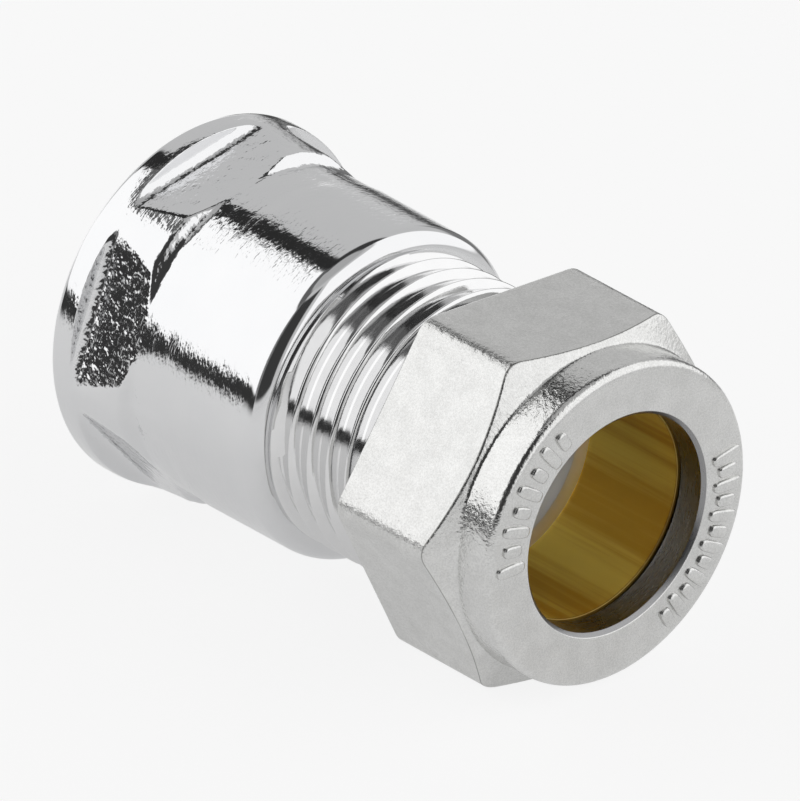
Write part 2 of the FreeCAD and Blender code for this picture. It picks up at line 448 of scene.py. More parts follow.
def thread_tree(flank: float = 27.5, crowding: float = 0.6, fillet: float = 0.3 * MM,
                snap: float = 0.012 * MM, weld: float = 0.001 * MM) -> FieldTree:
    """Tree that makes one screw thread as a tube whose rows follow the helix.

    A row sits at a fixed share of a turn from the crest, so crest and root stay crisp. Rows that
    leave the thread's length fall together on its end rings, where the next strip is sewn on.

    Args:
        flank: Angle of the flanks to the radius, in degrees.
        crowding: How much denser the rows lie at crest and root, from 0 to 1.
        fillet: Height over which the run-in flows into the turns, in metres.
        snap: Rows that come this close to an end ring lie on it.
        weld: Distance under which points become one.

    Returns:
        The tree, with its named inputs.
    """
    tree = FieldTree("ScrewThread")
    columns = tree.input("Columns", "NodeSocketInt")
    rows_per_turn = tree.input("Rows per turn", "NodeSocketInt")
    turns = tree.input("Turns", "NodeSocketInt")
    pitch, major, minor, start, end, crest, rounding, start_slope, end_slope = (
        tree.input(name) for name in ("Pitch", "Major radius", "Minor radius", "Start", "End",
                                      "Crest place", "Rounding", "Start slope", "End slope"))
    to_minor = tree.input("Ends at minor", "NodeSocketBool")
    material = tree.input("Material", "NodeSocketMaterial")

    across = columns + 1.0
    grid = tree.node("GeometryNodeMeshGrid", {"Vertices X": rows_per_turn * (turns + 1.0) + 5.0,
                                              "Vertices Y": across})
    index = tree.number("GeometryNodeInputIndex")
    row = tree.math("FLOOR", (index + 0.5) / across)
    share = (index - row * across) / columns
    raw = ((row - 2.0) / rows_per_turn - share) * pitch + start
    pull = tree.math("SINE", ((raw - crest) / pitch + share) * (4 * math.pi))
    dense = pull * (pitch * (-crowding / (4 * math.pi))) + raw
    x = tree.choose(tree.math("LESS_THAN", dense, start + snap), dense, start)
    x = tree.choose(tree.math("GREATER_THAN", x, end - snap), x, end)

    phase = (x - crest) / pitch + share
    from_crest = tree.math("ABSOLUTE", phase - tree.math("ROUND", phase)) * pitch
    from_root = pitch * 0.5 - from_crest
    near = tree.math("MINIMUM", from_crest, from_root)
    slant = math.radians(flank)
    curved = tree.math("MINIMUM", near, rounding * math.cos(slant))
    fallen = tree.math("SQRT", rounding * rounding - curved * curved)
    drop = (rounding - fallen) + (near - curved) * (1 / math.tan(slant))
    by_crest = tree.math("LESS_THAN", from_crest, from_root)
    radius = tree.choose(by_crest, minor + drop, major - drop)

    run_in = major - (x - start) * start_slope
    gap = tree.math("ABSOLUTE", radius - run_in)
    touching = tree.math("MAXIMUM", 1.0 - gap / fillet, 0.0)
    radius = tree.math("MAXIMUM", radius, run_in) + touching * touching * (fillet / 4)
    radius = tree.math("MINIMUM", radius, major)
    left = (end - x) * end_slope
    narrow = tree.math("MINIMUM", radius, minor + left)
    wide = tree.math("MAXIMUM", radius, major - left)
    radius = tree.choose(to_minor, wide, narrow)

    place = tree.on_circle(x, radius, share * (2 * math.pi))
    move = tree.node("GeometryNodeSetPosition", {"Geometry": grid.outputs["Mesh"], "Position": place})
    welded = tree.node("GeometryNodeMergeByDistance", {"Geometry": move.outputs[0], "Distance": weld})
    tree.finish(welded.outputs[0], material)
    return tree


@dataclass(frozen=True)
class PipeThread:
    """Half inch parallel pipe thread: 14 turns an inch, 55 degree flanks, rounded crests.

    The crest place fixes its phase, so that the nut's thread runs in the body's.
    """

    pitch: float = 25.4 / 14
    major: float = 20.955 / 2
    depth: float = 0.6403 * 25.4 / 14
    rounding: float = 0.11
    crest: float = 18.33

    @property
    def minor(self) -> float:
        """Radius at the roots of the male thread."""
        return self.major - self.depth

    def mesh(self, name: str, tree: FieldTree, start: float, end: float, columns: int,
             rows_per_turn: int, start_slope: float, end_slope: float, closing: ThreadEnd,
             zone: Zone, finish: bpy.types.Material, gap: float = 0.0) -> bpy.types.Mesh:
        """Cut one stretch of the thread.

        Args:
            name: Name of the mesh.
            tree: The thread tree.
            start: Ring where it starts, at the major radius, in millimetres along the axis.
            end: Ring where it ends.
            columns: Number of columns round the axis.
            rows_per_turn: Rows in each pitch.
            start_slope: Radius lost for each millimetre from the start ring.
            end_slope: Radius won or lost for each millimetre towards the end ring.
            closing: Whether the end ring is at the major or the minor radius.
            zone: Finish of the thread.
            finish: Material of that zone.
            gap: Radial clearance added for a thread that runs on this one.

        Returns:
            The open tube, its faces set to the zone.
        """
        result = tree.mesh(name, {
            "Columns": columns,
            "Rows per turn": rows_per_turn,
            "Turns": math.ceil((end - start) / self.pitch),
            "Pitch": self.pitch * MM,
            "Major radius": (self.major + gap) * MM,
            "Minor radius": (self.minor + gap) * MM,
            "Start": start * MM,
            "End": end * MM,
            "Crest place": self.crest * MM,
            "Rounding": self.rounding * MM,
            "Start slope": start_slope,
            "End slope": end_slope,
            "Ends at minor": closing is ThreadEnd.TO_MINOR,
            "Material": finish,
        })
        result.materials.clear()
        result.polygons.foreach_set("material_index", np.full(len(result.polygons), zone.value))
        return result


class Shading(Formulas):
    """A material's node tree on Object coordinates."""

    def __init__(self, name: str) -> None:
        """Start a material with a Principled shader."""
        self.material = bpy.data.materials.new(name)
        self.material.use_nodes = True
        super().__init__(self.material.node_tree)
        self.shader = self.tree.nodes["Principled BSDF"]
        self.place = self.node("ShaderNodeTexCoord").outputs["Object"]
        split = self.node("ShaderNodeSeparateXYZ", {"Vector": self.place})
        self.x, self.y, self.z = (Term(self, out) for out in split.outputs)
        self.radius = self.distance(self.y, self.z)

    def distance(self, first: Term, second: Term) -> Term:
        """Length of the diagonal over two sides."""
        return self.math("SQRT", first * first + second * second)

    def along(self, low: float, high: float, to_low: float = 0.0, to_high: float = 1.0) -> Term:
        """A value that changes between two places along the axis, in millimetres."""
        return self.between(self.x, low * MM, high * MM, to_low, to_high)

    def noise(self, size: float, detail: float = 2.0, roughness: float = 0.5,
              stretch: tuple[float, float, float] = (1, 1, 1)) -> Term:
        """Noise whose blotches are about that many millimetres across.

        Args:
            size: Size of a blotch in millimetres.
            detail: Octaves.
            roughness: Weight of the finer octaves.
            stretch: Share of the frequency along each axis.

        Returns:
            The factor, about 0.5 on average.
        """
        squeeze = self.node("ShaderNodeMapping", {"Vector": self.place, "Scale": stretch})
        return self.number("ShaderNodeTexNoise", {
            "Vector": squeeze.outputs[0], "Scale": 1 / (size * MM), "Detail": detail,
            "Roughness": roughness,
        })

    def tint(self, share: Term, low: object, high: tuple[float, float, float]) -> bpy.types.NodeSocket:
        """A colour between two, by a share from 0 to 1.

        Args:
            share: How much of the second colour shows.
            low: First colour, as three numbers or a socket.
            high: Second colour.

        Returns:
            The colour socket.
        """
        made = self.node("ShaderNodeMix", data_type="RGBA")
        first = low if isinstance(low, bpy.types.NodeSocket) else (*low, 1)
        for value, socket in zip((share, first, (*high, 1)), (made.inputs[0], *made.inputs[6:8])):
            self.feed(value, socket)
        return made.outputs[2]

    def relief(self, height: Term, depth: float, below: bpy.types.NodeSocket | None = None,
               strength: float | Term = 1.0) -> bpy.types.NodeSocket:
        """A bump of that many millimetres for a height of 1.

        Args:
            height: The height field.
            depth: Its depth in millimetres.
            below: Normal of the relief under it.
            strength: How much of it shows, from 0 to 1.

        Returns:
            The bent normal.
        """
        made = self.node("ShaderNodeBump", {"Distance": depth * MM, "Strength": strength,
                                            "Height": height})
        if below is not None:
            self.feed(below, made.inputs["Normal"])
        return made.outputs[0]

    def dress(self, colour: bpy.types.NodeSocket, roughness: Term, normal: bpy.types.NodeSocket,
              metallic: float = 1.0) -> bpy.types.Material:
        """Set the shader and give the material."""
        for key, value in (("Base Color", colour), ("Roughness", roughness), ("Normal", normal),
                           ("Metallic", metallic)):
            self.feed(value, self.shader.inputs[key])
        return self.material


@dataclass(frozen=True)
class PolishedForging:
    """Chrome over a polished forging: mirror bright, with a fine ripple where it wasn't turned.

    The reliefs lie over each other, from the wave to the lines: each has the size of its blotches
    and its depth, in millimetres.

    Args:
        turned_rear: Collar length that was turned smooth, in millimetres.
        turned_front: Place from which the front was turned smooth.
        flat_start: Rear end of the spanner hexagon.
        flat_end: Front end of the spanner hexagon.
        bright: Colour where the plating is brightest.
        shade: Colour where it is dullest.
    """

    turned_rear: float
    turned_front: float
    flat_start: float
    flat_end: float
    bright: tuple[float, float, float] = (0.77, 0.77, 0.775)
    shade: tuple[float, float, float] = (0.735, 0.74, 0.75)
    grain: float = 0.8
    grain_depth: float = 0.028
    hair: float = 0.35
    hair_depth: float = 0.009
    wave: float = 1.6
    wave_depth: float = 0.014
    dent: float = 0.8
    dent_depth: float = 0.06

    def material(self) -> bpy.types.Material:
        """Build the finish."""
        s = Shading("polished_forging")
        rear = s.along(self.turned_rear - 0.25, self.turned_rear + 0.3)
        front = s.along(self.turned_front, self.turned_front + 0.5, 1.0, 0.0)
        forged = rear * front
        behind = s.along(self.flat_start - 0.3, self.flat_start + 0.3)
        ahead = s.along(self.flat_end, self.flat_end + 2.5, 1.0, 0.0)
        hexagon = behind * ahead
        round_the_axis = (3, 1, 1)
        wave = s.relief(s.noise(self.wave, 1.5), self.wave_depth, strength=forged)
        grain = s.relief(s.noise(self.grain, 2.2, 0.5, round_the_axis), self.grain_depth, wave, forged)
        hair = s.relief(s.noise(self.hair, 1.5, 0.5, round_the_axis), self.hair_depth, grain, forged)
        dents = s.relief(s.noise(self.dent), self.dent_depth, hair, hexagon)
        lines = s.noise(0.9, 2.0, 0.6, (60, 1, 1))
        turned = s.relief(lines, 0.0004, dents)
        colour = s.tint(s.noise(3.0, 3.0), self.shade, self.bright)
        roughness = s.between(s.noise(0.8, 3.0), 0.3, 0.7, 0.04, 0.09)
        return s.dress(colour, roughness, turned)


@dataclass(frozen=True)
class CutThread:
    """Chrome over a cut thread: mirror bright with fine lines along the turns."""

    bright: tuple[float, float, float] = (0.80, 0.80, 0.80)
    shade: tuple[float, float, float] = (0.76, 0.76, 0.765)

    def material(self) -> bpy.types.Material:
        """Build the finish."""
        s = Shading("cut_thread")
        lines = s.relief(s.noise(0.8, 2.0, 0.6, (50, 1, 1)), 0.0008)
        fine = s.relief(s.noise(0.25, 2.0), 0.0012, lines)
        colour = s.tint(s.noise(1.2, 2.0), self.shade, self.bright)
        roughness = s.between(s.noise(0.7, 3.0), 0.3, 0.7, 0.05, 0.1)
        return s.dress(colour, roughness, fine)


@dataclass(frozen=True)
class PlatedBore:
    """Thin dull plating inside a bore, with the marks of the boring tool.

    Args:
        name: Name of the material.
        bright: Colour where the plating is brightest.
        shade: Colour where it is dullest.
        gloss: Roughness where it is smoothest.
    """

    name: str
    bright: tuple[float, float, float]
    shade: tuple[float, float, float]
    gloss: float

    def material(self) -> bpy.types.Material:
        """Build the finish."""
        s = Shading(self.name)
        rings = s.relief(s.noise(1.2, 2.0, 0.6, (30, 1, 1)), 0.0006)
        colour = s.tint(s.noise(1.5, 3.0), self.shade, self.bright)
        worn = s.noise(0.9, stretch=(8, 1, 1))
        roughness = s.between(worn, 0.3, 0.7, self.gloss, self.gloss + 0.05)
        return s.dress(colour, roughness, rings)


@dataclass(frozen=True)
class SatinPlate:
    """Satin plating on the nut: a fine even grain, hammered where the forging wasn't machined.

    Args:
        neck_place: Where the neck starts, in millimetres along the axis.
        neck_radius: Radius of the neck.
        corner_radius: Radius from which the hexagon's corners are hammered.
        cone_slope: Radius lost for each millimetre along the corner chamfer.
        face_place: Place of the front face, which was machined.
        bright: Colour of the plating's light grains.
        shade: Colour of its dark grains.
        crease_shade: Colour of the painted shade along the crease where flats and chamfer meet.
        neck_calm: Share of the hammering that the neck lost.
        neck_gloss: How much less rough the neck is.
    """

    neck_place: float
    neck_radius: float
    corner_radius: float
    cone_slope: float
    face_place: float
    bright: tuple[float, float, float] = (0.76, 0.76, 0.75)
    shade: tuple[float, float, float] = (0.60, 0.60, 0.59)
    crease_shade: tuple[float, float, float] = (0.20, 0.20, 0.19)
    grain: float = 0.16
    grain_depth: float = 0.009
    cast: float = 0.34
    cast_depth: float = 0.055
    neck_calm: float = 0.25
    neck_gloss: float = 0.15

    def material(self) -> bpy.types.Material:
        """Build the finish."""
        s = Shading("satin_plate")
        cone = (self.neck_place * MM - s.x) * self.cone_slope + self.neck_radius * MM
        on_cone = s.between(s.radius - cone, -0.25 * MM, -0.05 * MM)
        at_corner = s.between(s.radius, (self.corner_radius - 0.25) * MM, self.corner_radius * MM)
        off_face = s.along(self.face_place - 0.12, self.face_place - 0.02, 1.0, 0.0)
        rough_skin = s.math("MAXIMUM", on_cone, at_corner) * off_face
        on_neck = off_face * s.along(self.neck_place - 0.3, self.neck_place + 0.2)
        struck = rough_skin * (1.0 - on_neck * self.neck_calm)
        grain = s.relief(s.noise(self.grain, 2.0, 0.6), self.grain_depth)
        cast = s.relief(s.noise(self.cast, 3.0, 0.55), self.cast_depth, grain, struck)
        speck = s.between(s.noise(0.13, 2.0, 0.6), 0.3, 0.7)
        patch = s.between(s.noise(1.4, 3.0, 0.6), 0.3, 0.7)
        plate = s.tint(patch * 0.35 + speck * 0.65, self.shade, self.bright)
        # Painted shade: a dark line where the flats meet the corner chamfer, ahead of the neck, stands
        # in for the shade in that crease.
        before = s.along(self.neck_place - 0.4, self.neck_place - 0.2, 1.0, 0.0)
        line = on_cone * (1.0 - on_cone) * 3.6
        colour = s.tint(line * before, plate, self.crease_shade)
        dull = s.between(s.noise(0.3, 3.0), 0.3, 0.7, 0.19, 0.27)
        return s.dress(colour, dull - on_neck * self.neck_gloss, cast)


@dataclass(frozen=True)
class DrawnBrass:
    """Bare brass of the olive, streaked along the pipe, with painted shade darkening its front edge.

    Args:
        front: Place of the front edge, in millimetres along the axis.
        bright: Colour of the bright streaks.
        shade: Colour of the dark streaks.
        edge_shade: Colour of the painted shade on the front edge, which dims its reflection.
        metallic: Below 1, so that the thin skin on the brass scatters some light.
    """

    front: float
    bright: tuple[float, float, float] = (1.0, 0.76, 0.15)
    shade: tuple[float, float, float] = (0.70, 0.41, 0.04)
    edge_shade: tuple[float, float, float] = (0.30, 0.19, 0.05)
    metallic: float = 0.7

    def material(self) -> bpy.types.Material:
        """Build the finish."""
        s = Shading("drawn_brass")
        along = s.relief(s.noise(0.6, 2.0, 0.5, (0.05, 1, 1)), 0.004)
        fine = s.relief(s.noise(0.3, 1.0), 0.001, along)
        streak = s.between(s.noise(2.6, 5.0, 0.6, (0.03, 1, 1)), 0.38, 0.58)
        drawn = s.tint(streak, self.shade, self.bright)
        # Painted shade: the front edge is darkened to dim its bright reflection.
        edge = s.along(self.front - 0.15, self.front - 0.05, 0.0, 0.85)
        colour = s.tint(edge, drawn, self.edge_shade)
        roughness = s.between(s.noise(0.4, 3.0), 0.3, 0.7, 0.32, 0.38)
        return s.dress(colour, roughness, fine, self.metallic)


def carry(piece: bpy.types.Object, body: str, node: str | None) -> None:
    """Ride a piece on its body and hide the solid that it stands for.

    Args:
        piece: The finished object.
        body: Body that it moves with.
        node: Solid that it replaces, if any.
    """
    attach(piece, body)
    if node:
        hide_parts(node)
    log.info("%s rides on %s", piece.name, body)


@dataclass
class ConnectorBody:
    """One forging with a spanner hexagon, a round barrel, a male thread and two bored ends.

    Places run along the axis from the female rim. Sizes are in millimetres, the turn of the
    hexagon about the axis is in degrees, and a slope is the radius lost for each millimetre.
    """

    thread: PipeThread
    columns: int = 270
    hex_turn: float = -14.3
    hex_across: float = 23.3
    collar_width: float = 1.9
    collar_round: float = 0.75
    collar_turned: float = 0.8
    wall_slope: float = 8.0
    wall_round: float = 0.8
    wall_lead: float = 0.7
    wall_fall: float = 0.08
    wall_fade: float = 0.3
    hex_end: float = 6.15
    nose_radius: float = 12.55
    nose_roll: float = 0.22
    step_slope: float = 1.15
    step_fillet: float = 0.34
    run_out: float = 0.08
    run_out_fillet: float = 0.15
    flat_roll: float = 0.12
    blend_end: float = 9.6
    barrel_rear: float = 11.85
    barrel_front: float = 11.8
    shoulder_place: float = 18.85
    seat_mouth: float = 9.15
    seat_start: float = 29.22
    socket_radius: float = 7.6
    stop_place: float = 17.0
    waterway_radius: float = 6.5
    female_depth: float = 13.5
    female_point: float = 1.7
    mouth_radius: float = 10.6

    def __post_init__(self) -> None:
        """Take the overall sizes from the solid."""
        low, high = node_box("connector_body")
        self.length = float(high[0])
        self.collar_radius = float(high[2])

    def hexagon_radius(self, x: float, angle: np.ndarray) -> np.ndarray:
        """Radius of the forged outside round one ring.

        Args:
            x: Place along the axis in millimetres.
            angle: Angles of the columns.

        Returns:
            The radius in each column.
        """
        fall = (self.collar_radius - self.nose_radius) / (self.hex_end - self.collar_width)
        cone = self.collar_radius - max(x - self.collar_width, 0) * fall
        step = self.nose_radius - (x - self.hex_end) * self.step_slope
        barrel = np.full_like(angle, self.barrel_rear)
        nose = soft_min(np.full_like(angle, cone), step, self.nose_roll)
        outside = soft_max(nose, barrel, self.step_fillet)
        flat = self.hex_across / 2
        rise = soft_max(0.0, (x - self.hex_end) * self.run_out, self.run_out_fillet)
        into = self.collar_width + self.wall_round - x
        curved = min(max(into, 0), self.wall_round)
        curve = self.wall_round - math.sqrt(self.wall_round ** 2 - curved ** 2)
        steep = max(into - self.wall_round, 0) * self.wall_slope
        turn = angle - math.radians(self.hex_turn)
        sector = math.radians(60)
        off = np.abs((turn + sector / 2) % sector - sector / 2)
        lead = min(max(x - self.collar_width + self.wall_lead, 0), self.wall_lead) / self.wall_lead
        sunk = np.clip((self.collar_radius - flat / np.cos(off)) / self.wall_fade, 0, 1)
        outside = outside - self.wall_fall * lead * lead * sunk
        return soft_min(outside, (flat + rise + curve + steep) / np.cos(off), self.flat_roll)

    def outside(self) -> Strip:
        """Rings from the female rim over the collar, hexagon, barrel and shoulder.

        They lie closest where the forging bends most: at the wall, its foot and the step.
        """
        angle = ring_angles(self.columns)
        strip = turned_strip([
            Corner(self.mouth_radius - self.thread.major, self.thread.major, zone=Zone.INSIDE),
            Corner(0, self.mouth_radius, 0.08, 3),
            Corner(0, self.collar_radius, self.collar_round, 3),
            Corner(self.collar_width - 0.9, self.collar_radius),
        ], self.columns)

        def ring(x: float, r: float | np.ndarray) -> None:
            """Add one ring square to the axis."""
            strip.add(np.full(self.columns, x), np.broadcast_to(r, self.columns), Zone.OUTSIDE)

        lead_rows = np.arange(self.collar_width - 0.8, self.collar_width - 0.2, 0.08)
        steep_rows = np.arange(self.collar_width - 0.16, self.collar_width, 0.016)
        bends = np.linspace(math.pi / 2, 0, 15)
        foot_rows = self.collar_width + self.wall_round * (1 - np.sin(bends))
        flat_rows = np.arange(foot_rows[-1] + 0.15, self.hex_end - 0.5, 0.16)
        step_rows = np.arange(self.hex_end - 0.45, self.hex_end + 1.3, 0.055)
        blend_rows = np.arange(step_rows[-1] + 0.15, self.blend_end, 0.2)
        for x in np.concatenate([lead_rows, steep_rows, foot_rows, flat_rows, step_rows, blend_rows]):
            ring(x, self.hexagon_radius(float(x), angle))
        round_radius = self.barrel_front - self.thread.major
        arc_start = self.shoulder_place - round_radius
        for share in np.linspace(0.06, 1, 12):
            ring(self.blend_end + (arc_start - self.blend_end) * share,
                 self.barrel_rear + (self.barrel_front - self.barrel_rear) * share)
        for bend in np.linspace(0, math.pi / 2, 17)[1:]:
            ring(arc_start + round_radius * math.sin(bend),
                 self.thread.major + round_radius * math.cos(bend))
        return strip

    def bores(self) -> Strip:
        """Rings from the thread's end over the seat, socket and waterway to the female thread."""
        return turned_strip([
            Corner(self.length, self.thread.minor, zone=Zone.THREAD),
            Corner(self.length, self.seat_mouth, 0.05, 4, Zone.INSIDE),
            Corner(self.seat_start, self.socket_radius, 0.2, 8, Zone.INSIDE),
            Corner(self.stop_place, self.socket_radius, 0.1, 2, Zone.INSIDE),
            Corner(self.stop_place, self.waterway_radius, 0.15, 2, Zone.INSIDE),
            Corner(self.female_depth + self.female_point, self.waterway_radius, 0.1, 3, Zone.INSIDE),
            Corner(self.female_depth, self.thread.minor),
        ], self.columns)

    def build(self, tree: FieldTree) -> bpy.types.Object:
        """Make the piece and put it in place of its solid.

        Args:
            tree: The thread tree.

        Returns:
            The finished object.
        """
        finishes = [
            PolishedForging(self.collar_turned, self.shoulder_place - 1.9, self.collar_width,
                            self.hex_end).material(),
            CutThread().material(),
            PlatedBore("body_bore", (0.92, 0.92, 0.92), (0.86, 0.86, 0.85), 0.3).material(),
        ]
        male = self.thread.mesh(
            "male_thread", tree, self.shoulder_place, self.length, self.columns, rows_per_turn=16,
            start_slope=1.9, end_slope=self.thread.depth, closing=ThreadEnd.TO_MINOR,
            zone=Zone.THREAD, finish=finishes[1])
        female = self.thread.mesh(
            "female_thread", tree, self.mouth_radius - self.thread.major, self.female_depth,
            self.columns, rows_per_turn=8, start_slope=1.0, end_slope=1.2,
            closing=ThreadEnd.TO_MINOR, zone=Zone.INSIDE, finish=finishes[2])
        parts = [strip_mesh(self.outside(), self.columns, "outside"), male,
                 strip_mesh(self.bores(), self.columns, "bores"), female]
        piece = sewn_piece("forged_body", parts, finishes)
        carry(piece, "connector", "connector_body")
        return piece


@dataclass
class Olive:
    """Loose brass ring between the body's seat and the nut's cone."""

    columns: int = 240
    bore_radius: float = 7.65
    edge: float = 0.3
    ramp_angle: float = 24.0
    nose_angle: float = 45.0

    def build(self) -> bpy.types.Object:
        """Make the ring and put it in place of its solid."""
        low, high = node_box("olive")
        outer = float(high[2])
        rise = outer - self.bore_radius - self.edge
        ramp_end = low[0] + rise / math.tan(math.radians(self.ramp_angle))
        nose_start = high[0] - rise / math.tan(math.radians(self.nose_angle))
        tip = self.bore_radius + self.edge
        middle = (ramp_end + nose_start) / 2
        outline = [
            Corner(middle, self.bore_radius, 0, 6),
            Corner(low[0], self.bore_radius, 0.08, 2),
            Corner(low[0], tip, 0.08, 6),
            Corner(ramp_end, outer, 0.5, 6),
            Corner(nose_start, outer, 0.35, 5),
            Corner(high[0], tip, 0.1, 2),
            Corner(high[0], self.bore_radius, 0.07, 6),
            Corner(middle, self.bore_radius),
        ]
        strip = turned_strip(outline, self.columns)
        piece = sewn_piece("brass_olive", [strip_mesh(strip, self.columns, "ring")],
                           [DrawnBrass(float(high[0])).material()])
        carry(piece, "ring", "olive")
        return piece


@dataclass
class CompressionNut:
    """Forged nut: hexagon with rounded corners, corner chamfer, neck, lip, cone and thread.

    Sizes are in millimetres, the angle of the corner chamfer is in degrees.
    """

    thread: PipeThread
    columns: int = 360
    corner_round: float = 1.6
    neck_radius: float = 11.5
    neck_length: float = 3.35
    face_round: float = 0.55
    corner_angle: float = 30.0
    lip_radius: float = 7.7
    lip_length: float = 2.5
    lip_break: float = 0.3
    thread_gap: float = 0.07
    entry: float = 0.65
    mark_height: float = 0.3
    mark_width: float = 0.9
    mark_length: float = 2.4
    hammered_from: float = 13.1

    def __post_init__(self) -> None:
        """Take the overall sizes from the solid."""
        low, high = node_box("compression_nut")
        self.back = float(low[0])
        self.front = float(high[0])
        self.flat = float(high[2])
        self.face = self.front - self.mark_height
        self.neck_place = self.front - self.neck_length
        self.lip_start = self.front - self.lip_length
        self.bore = self.thread.major + self.thread_gap
        self.cone_start = self.lip_start - (self.bore - self.lip_radius)
        self.cone_slope = 1 / math.tan(math.radians(self.corner_angle))

    def hexagon_radius(self, angle: np.ndarray) -> np.ndarray:
        """Radius of the hexagon with rounded corners in each column."""
        sector = math.radians(60)
        off = np.abs((angle + sector / 2) % sector - sector / 2)
        from_corner = sector / 2 - off
        centre = (self.flat - self.corner_round) / math.cos(sector / 2)
        inside = np.clip(self.corner_round ** 2 - (centre * np.sin(from_corner)) ** 2, 0, None)
        rounded = centre * np.cos(from_corner) + np.sqrt(inside)
        tangent = math.atan2(centre * math.sin(sector / 2), self.flat)
        return np.where(off < tangent, self.flat / np.cos(off), rounded)

    def outside(self) -> Strip:
        """Rings from the inner thread's mouth over the outside and into the cone."""
        hexagon = self.hexagon_radius(ring_angles(self.columns))
        chamfer = self.neck_place - (hexagon - self.neck_radius) / self.cone_slope
        return turned_strip([
            Corner(self.back + self.entry, self.bore, zone=Zone.INSIDE),
            Corner(self.back, self.bore + self.entry, 0.1, 2),
            Corner(self.back, hexagon, 0.18, 9),
            Corner(chamfer, hexagon, 0.22, 9),
            Corner(self.neck_place, self.neck_radius + 0.03, 0.35, 6),
            Corner(self.face, self.neck_radius, self.face_round, 6),
            Corner(self.face, self.lip_radius + self.lip_break, 0.12, 2, Zone.INSIDE),
            Corner(self.face - self.lip_break, self.lip_radius, 0.1, 4, Zone.INSIDE),
            Corner(self.lip_start, self.lip_radius, 0.1, 6, Zone.INSIDE),
            Corner(self.cone_start, self.bore),
        ], self.columns)

    def marks(self, finish: bpy.types.Material) -> bpy.types.Object:
        """Raised plain ticks on the face, in two arcs.

        Args:
            finish: The nut's satin finish.

        Returns:
            The finished object.
        """
        tree = tick_tree()
        parts = []
        for count, first, last, radius in ((8, -93.0, -36.0, 9.55), (12, 76.0, 148.0, 9.75)):
            part = tree.mesh("ticks", {
                "Count": count,
                "First angle": math.radians(first),
                "Last angle": math.radians(last),
                "Radius": radius * MM,
                "Face": self.face * MM,
                "Height": self.mark_height * MM,
                "Width": self.mark_width * MM,
                "Length": self.mark_length * MM,
                "Material": finish,
            })
            part.materials.clear()
            parts.append(part)
        piece = sewn_piece("face_marks", parts, [finish], 60)
        carry(piece, "nut", None)
        return piece

    def build(self, tree: FieldTree) -> list[bpy.types.Object]:
        """Make the nut and its marks and put the nut in place of its solid.

        Args:
            tree: The thread tree.

        Returns:
            The finished objects.
        """
        finishes = [
            SatinPlate(self.neck_place, self.neck_radius, self.hammered_from, self.cone_slope,
                       self.face).material(),
            CutThread().material(),
            PlatedBore("nut_bore", (0.33, 0.33, 0.335), (0.29, 0.29, 0.295), 0.26).material(),
        ]
        inner = self.thread.mesh(
            "nut_thread", tree, self.back + self.entry, self.cone_start, self.columns,
            rows_per_turn=10, start_slope=1.0, end_slope=1.9, closing=ThreadEnd.TO_MAJOR,
            zone=Zone.INSIDE, finish=finishes[2], gap=self.thread_gap)
        parts = [strip_mesh(self.outside(), self.columns, "outside"), inner]
        piece = sewn_piece("compression_nut_skin", parts, finishes)
        carry(piece, "nut", "compression_nut")
        return [piece, self.marks(finishes[0])]


def tick_tree(level: int = 3, crease: float = 0.3, odd_share: float = 0.35) -> FieldTree:
    """Tree that lays rounded bars on an arc of a face square to the axis.

    Args:
        level: How often a bar is subdivided.
        crease: How crisp its edges stay, from 0 to 1.
        odd_share: How much shorter every second bar is, as a share of its length.

    Returns:
        The tree, with its named inputs.
    """
    tree = FieldTree("FaceTicks")
    count = tree.input("Count", "NodeSocketInt")
    first, last, radius, face, height, width, length = (
        tree.input(name) for name in ("First angle", "Last angle", "Radius", "Face", "Height",
                                      "Width", "Length"))
    material = tree.input("Material", "NodeSocketMaterial")

    points = tree.node("GeometryNodeMeshLine", {"Count": count})
    index = tree.number("GeometryNodeInputIndex")
    angle = index / (count - 1.0) * (last - first) + first
    move = tree.node("GeometryNodeSetPosition", {"Geometry": points.outputs[0],
                                                 "Position": tree.on_circle(face, radius, angle)})
    size = tree.ordered("ShaderNodeCombineXYZ", height * 2.0, width, length)
    bar = tree.node("GeometryNodeMeshCube", {"Size": size})
    smooth = tree.node("GeometryNodeSubdivisionSurface", {
        "Mesh": bar.outputs["Mesh"], "Level": level, "Edge Crease": crease})
    turn = tree.ordered("ShaderNodeCombineXYZ", angle * -1.0)
    odd = tree.math("MODULO", index, 2.0)
    shape = tree.ordered("ShaderNodeCombineXYZ", 1.0, 1.0, 1.0 - odd * odd_share)
    lay = tree.node("GeometryNodeInstanceOnPoints", {
        "Points": move.outputs[0], "Instance": smooth.outputs[0], "Rotation": turn, "Scale": shape})
    tree.finish(lay.outputs[0], material)
    return tree


class Side(Enum):
    """Compass side of the studio that a panel's middle faces, in degrees from +X towards +Y."""

    LEFT = -133.5
    FRONT = -56.0
    RIGHT = 42.0
    REAR = 146.0


@dataclass(frozen=True)
class Panel:
    """One wall, gap or soft light of the studio, as a patch of sky with soft edges.

    Args:
        side: Direction of its middle, in degrees from +X towards +Y.
        spread: Half its width in degrees; over 180 it goes all round.
        low: Height of its lower edge above the horizon, in degrees.
        high: Height of its upper edge.
        level: How bright it is; 1 is white.
        edge: Width of its soft edges, in degrees.
    """

    side: float
    spread: float
    low: float
    high: float
    level: float
    edge: float = 3.0


